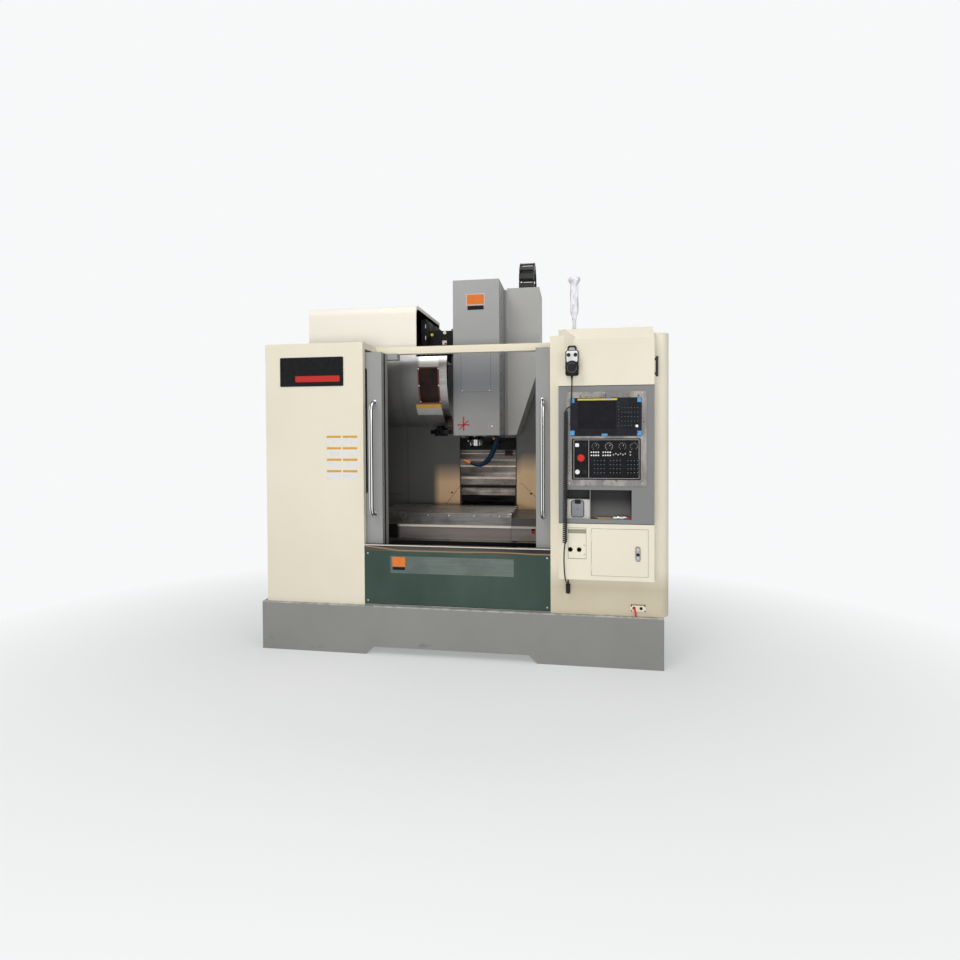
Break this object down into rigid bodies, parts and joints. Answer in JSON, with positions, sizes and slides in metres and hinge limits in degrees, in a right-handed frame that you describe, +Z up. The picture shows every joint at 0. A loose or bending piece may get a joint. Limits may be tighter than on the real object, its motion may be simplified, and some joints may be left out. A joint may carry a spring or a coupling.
{
  "type": "cnc machining center",
  "caption": "Vertical machining centre with twin sliding doors, slotted table, spindle head, arm tool changer and a side operator console.",
  "frame": {"origin": "centre of the machine's footprint on the floor", "axes": "+X to the operator's right, +Y from the doors towards the back, +Z up"},
  "size_m": [2.518, 2.3, 2.6982],
  "materials": {
    "cast_iron_paint": "satin",
    "cream_paint": "satin",
    "mid_grey_paint": "satin",
    "light_grey_paint": "satin",
    "black_paint": "semi-gloss",
    "green_gloss_panel": "gloss",
    "brushed_plate": "brushed",
    "console_grey_plastic": "matte",
    "amber_acrylic": "gloss",
    "lamp_plastic": "gloss",
    "packing_film": "cloudy film",
    "black_plastic": "moulded",
    "cord_rubber": "matte",
    "way_cover_steel": "polished sheet",
    "door_glass": "clear",
    "chromed_tube": "polished",
    "bare_sheet": "brushed",
    "ground_iron": "ground",
    "dark_way_cover": "satin",
    "bright_steel": "ground",
    "blue_hose_plastic": "moulded",
    "chain_plastic": "moulded",
    "red_plastic": "gloss"
  },
  "bodies": {
    "frame": {"bed": "cast_iron_paint", "base_skirt": "mid_grey_paint", "column": "cast_iron_paint", "left_cabinet": "cream_paint", "right_cabinet": "cream_paint", "top_beam": "cream_paint", "front_panel": "green_gloss_panel", "enclosure_walls": "cream_paint", "console_shell": "cream_paint", "panel_frame": "brushed_plate", "display_unit": "console_grey_plastic", "operator_panel": "console_grey_plastic", "magazine_hood": "mid_grey_paint", "magazine_cover": "cream_paint", "magazine_window": "amber_acrylic", "changer_gearbox": "black_paint", "electrical_cabinet": "cream_paint", "coolant_tank": "mid_grey_paint", "signal_lamp": "lamp_plastic", "lamp_wrap": "packing_film", "handset": "black_plastic", "cord_lead": "cord_rubber", "cord_coil": "cord_rubber", "cord_tail": "cord_rubber", "z_cover_fixed": "way_cover_steel"},
    "door_left": {"door_left_leaf": "mid_grey_paint", "door_left_glass": "door_glass", "door_left_handle": "chromed_tube"},
    "door_right": {"door_right_leaf": "mid_grey_paint", "door_right_glass": "door_glass", "door_right_handle": "chromed_tube"},
    "storage_door": {"storage_door": "cream_paint"},
    "storage_latch": {"storage_latch": "chromed_tube"},
    "electrical_door": {"electrical_door": "cream_paint"},
    "saddle": {"saddle": "cast_iron_paint", "saddle_guard": "bare_sheet"},
    "table": {"table": "ground_iron", "table_covers": "dark_way_cover"},
    "x_cover_outer": {"x_cover_outer": "dark_way_cover"},
    "x_cover_inner": {"x_cover_inner": "dark_way_cover"},
    "y_cover_middle": {"y_cover_middle": "bare_sheet"},
    "x_screw": {"x_screw": "bright_steel"},
    "y_screw": {"y_screw": "bright_steel"},
    "z_screw": {"z_screw": "bright_steel"},
    "head": {"head_casting": "cast_iron_paint", "head_cover": "light_grey_paint", "head_side_cover": "mid_grey_paint", "coolant_hose": "blue_hose_plastic", "z_cover_top": "way_cover_steel"},
    "spindle": {"spindle": "bright_steel"},
    "z_cover_upper": {"z_cover_upper": "way_cover_steel"},
    "z_cover_lower": {"z_cover_lower": "way_cover_steel"},
    "drag_chain": {"drag_chain": "chain_plastic"},
    "magazine_disc": {"magazine_disc": "black_paint"},
    "tool_arm": {"tool_arm": "black_paint"},
    "stop_button": {"stop_button": "red_plastic"},
    "mode_knob": {"mode_knob": "black_plastic"},
    "feed_knob": {"feed_knob": "black_plastic"},
    "rapid_knob": {"rapid_knob": "black_plastic"},
    "handset_wheel": {"handset_wheel": "black_plastic"}
  },
  "joints": [
    {"name": "door_left_slide", "type": "slide", "parent": "frame", "child": "door_left", "axis": [1, 0, 0], "range_m": [0, 0.4735]},
    {"name": "door_right_slide", "type": "slide", "parent": "frame", "child": "door_right", "axis": [-1, 0, 0], "range_m": [0, 0.4895]},
    {"name": "storage_door_hinge", "type": "hinge", "parent": "frame", "child": "storage_door", "pos_m": [0.8135, -1.082, 0.687], "axis": [0, 0, -1], "range_deg": [0, 110]},
    {"name": "storage_latch_turn", "type": "hinge", "parent": "storage_door", "child": "storage_latch", "pos_m": [1.072, -1.08, 0.684], "axis": [0, 1, 0], "range_deg": [0, 90]},
    {"name": "electrical_door_hinge", "type": "hinge", "parent": "frame", "child": "electrical_door", "pos_m": [-0.388, 1.1425, 1.23], "axis": [0, 0, 1], "range_deg": [0, 110]},
    {"name": "y_axis", "type": "slide", "parent": "frame", "child": "saddle", "axis": [0, 1, 0], "range_m": [-0.347, 0.153]},
    {"name": "x_axis", "type": "slide", "parent": "saddle", "child": "table", "axis": [1, 0, 0], "range_m": [-0.174, 0.626]},
    {"name": "x_cover_outer_slide", "type": "slide", "parent": "saddle", "child": "x_cover_outer", "axis": [1, 0, 0], "range_m": [-0.117, 0.418]},
    {"name": "x_cover_inner_slide", "type": "slide", "parent": "saddle", "child": "x_cover_inner", "axis": [1, 0, 0], "range_m": [-0.059, 0.209]},
    {"name": "y_cover_slide", "type": "slide", "parent": "frame", "child": "y_cover_middle", "axis": [0, 1, 0], "range_m": [-0.174, 0.077]},
    {"name": "z_axis", "type": "slide", "parent": "frame", "child": "head", "axis": [0, 0, 1], "range_m": [-0.33, 0.185]},
    {"name": "z_cover_upper_slide", "type": "slide", "parent": "frame", "child": "z_cover_upper", "axis": [0, 0, 1], "range_m": [-0.2311, 0.1296]},
    {"name": "z_cover_lower_slide", "type": "slide", "parent": "frame", "child": "z_cover_lower", "axis": [0, 0, 1], "range_m": [-0.1123, 0.063]},
    {"name": "drag_chain_roll", "type": "slide", "parent": "frame", "child": "drag_chain", "axis": [0, 0, 1], "range_m": [-0.1651, 0.0926]},
    {"name": "x_screw_spin", "type": "hinge", "parent": "saddle", "child": "x_screw", "pos_m": [0, -0.103, 0.632], "axis": [1, 0, 0], "range_deg": [-6300, 22600]},
    {"name": "y_screw_spin", "type": "hinge", "parent": "frame", "child": "y_screw", "pos_m": [0, -0.2, 0.478], "axis": [0, 1, 0], "range_deg": [-12520, 5540]},
    {"name": "z_screw_spin", "type": "hinge", "parent": "frame", "child": "z_screw", "pos_m": [0.01, 0.43, 1.4], "axis": [0, 0, 1], "range_deg": [-11920, 6700]},
    {"name": "spindle_spin", "type": "hinge", "parent": "head", "child": "spindle", "pos_m": [0, -0.2, 1.4], "axis": [0, 0, 1], "continuous": true},
    {"name": "magazine_turn", "type": "hinge", "parent": "frame", "child": "magazine_disc", "pos_m": [-0.45, -0.2, 1.795], "axis": [1, 0, 0], "continuous": true},
    {"name": "tool_arm_swing", "type": "hinge", "parent": "frame", "child": "tool_arm", "pos_m": [-0.265, -0.2, 1.38], "axis": [0, 0, -1], "range_deg": [0, 40]},
    {"name": "stop_press", "type": "slide", "parent": "frame", "child": "stop_button", "axis": [0, 1, 0], "range_m": [0, 0.006], "stiffness_N_per_m": 900},
    {"name": "mode_knob_turn", "type": "hinge", "parent": "frame", "child": "mode_knob", "pos_m": [0.837, -1.09, 1.294], "axis": [0, 1, 0], "range_deg": [-120, 120]},
    {"name": "feed_knob_turn", "type": "hinge", "parent": "frame", "child": "feed_knob", "pos_m": [0.912, -1.09, 1.294], "axis": [0, 1, 0], "range_deg": [-120, 120]},
    {"name": "rapid_knob_turn", "type": "hinge", "parent": "frame", "child": "rapid_knob", "pos_m": [0.987, -1.09, 1.294], "axis": [0, 1, 0], "range_deg": [-120, 120]},
    {"name": "handset_wheel_turn", "type": "hinge", "parent": "frame", "child": "handset_wheel", "pos_m": [0.706, -1.13, 1.74], "axis": [0, 1, 0], "continuous": true}
  ],
  "couplings": [
    {"joint": "x_cover_outer_slide", "follows": "x_axis", "ratio": 0.66667},
    {"joint": "x_cover_inner_slide", "follows": "x_axis", "ratio": 0.33333},
    {"joint": "y_cover_slide", "follows": "y_axis", "ratio": 0.5},
    {"joint": "z_cover_upper_slide", "follows": "z_axis", "ratio": 0.7},
    {"joint": "z_cover_lower_slide", "follows": "z_axis", "ratio": 0.34},
    {"joint": "drag_chain_roll", "follows": "z_axis", "ratio": 0.5},
    {"joint": "x_screw_spin", "follows": "x_axis", "rad_per_m": 628.32},
    {"joint": "y_screw_spin", "follows": "y_axis", "rad_per_m": 628.32},
    {"joint": "z_screw_spin", "follows": "z_axis", "rad_per_m": 628.32}
  ]
}
